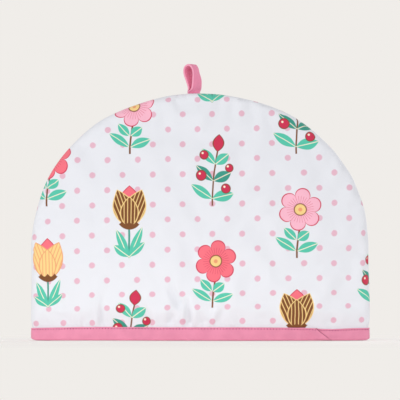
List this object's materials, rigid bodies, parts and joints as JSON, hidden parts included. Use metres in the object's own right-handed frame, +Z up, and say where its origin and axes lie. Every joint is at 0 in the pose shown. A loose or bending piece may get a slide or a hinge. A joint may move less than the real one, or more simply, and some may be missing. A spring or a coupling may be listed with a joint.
{
  "type": "tea cosy",
  "caption": "Arched padded cotton tea cosy, open below, with a bias-bound hem and a tape loop in its top seam.",
  "frame": {"origin": "on the surface it stands on, under the middle of the hem", "axes": "+X along the width, to the right as seen from the front; +Y from front to back; +Z up"},
  "size_m": [0.34, 0.0975, 0.2781],
  "materials": {
    "printed_cotton": "matt plain-weave cotton, printed",
    "pink_binding": "matt bias-cut cotton",
    "pink_tape": "matt folded cotton tape"
  },
  "bodies": {
    "root": {"front_panel": "printed_cotton", "back_panel": "printed_cotton", "hem_binding": "pink_binding", "hanging_loop": "pink_tape"}
  },
  "joints": []
}
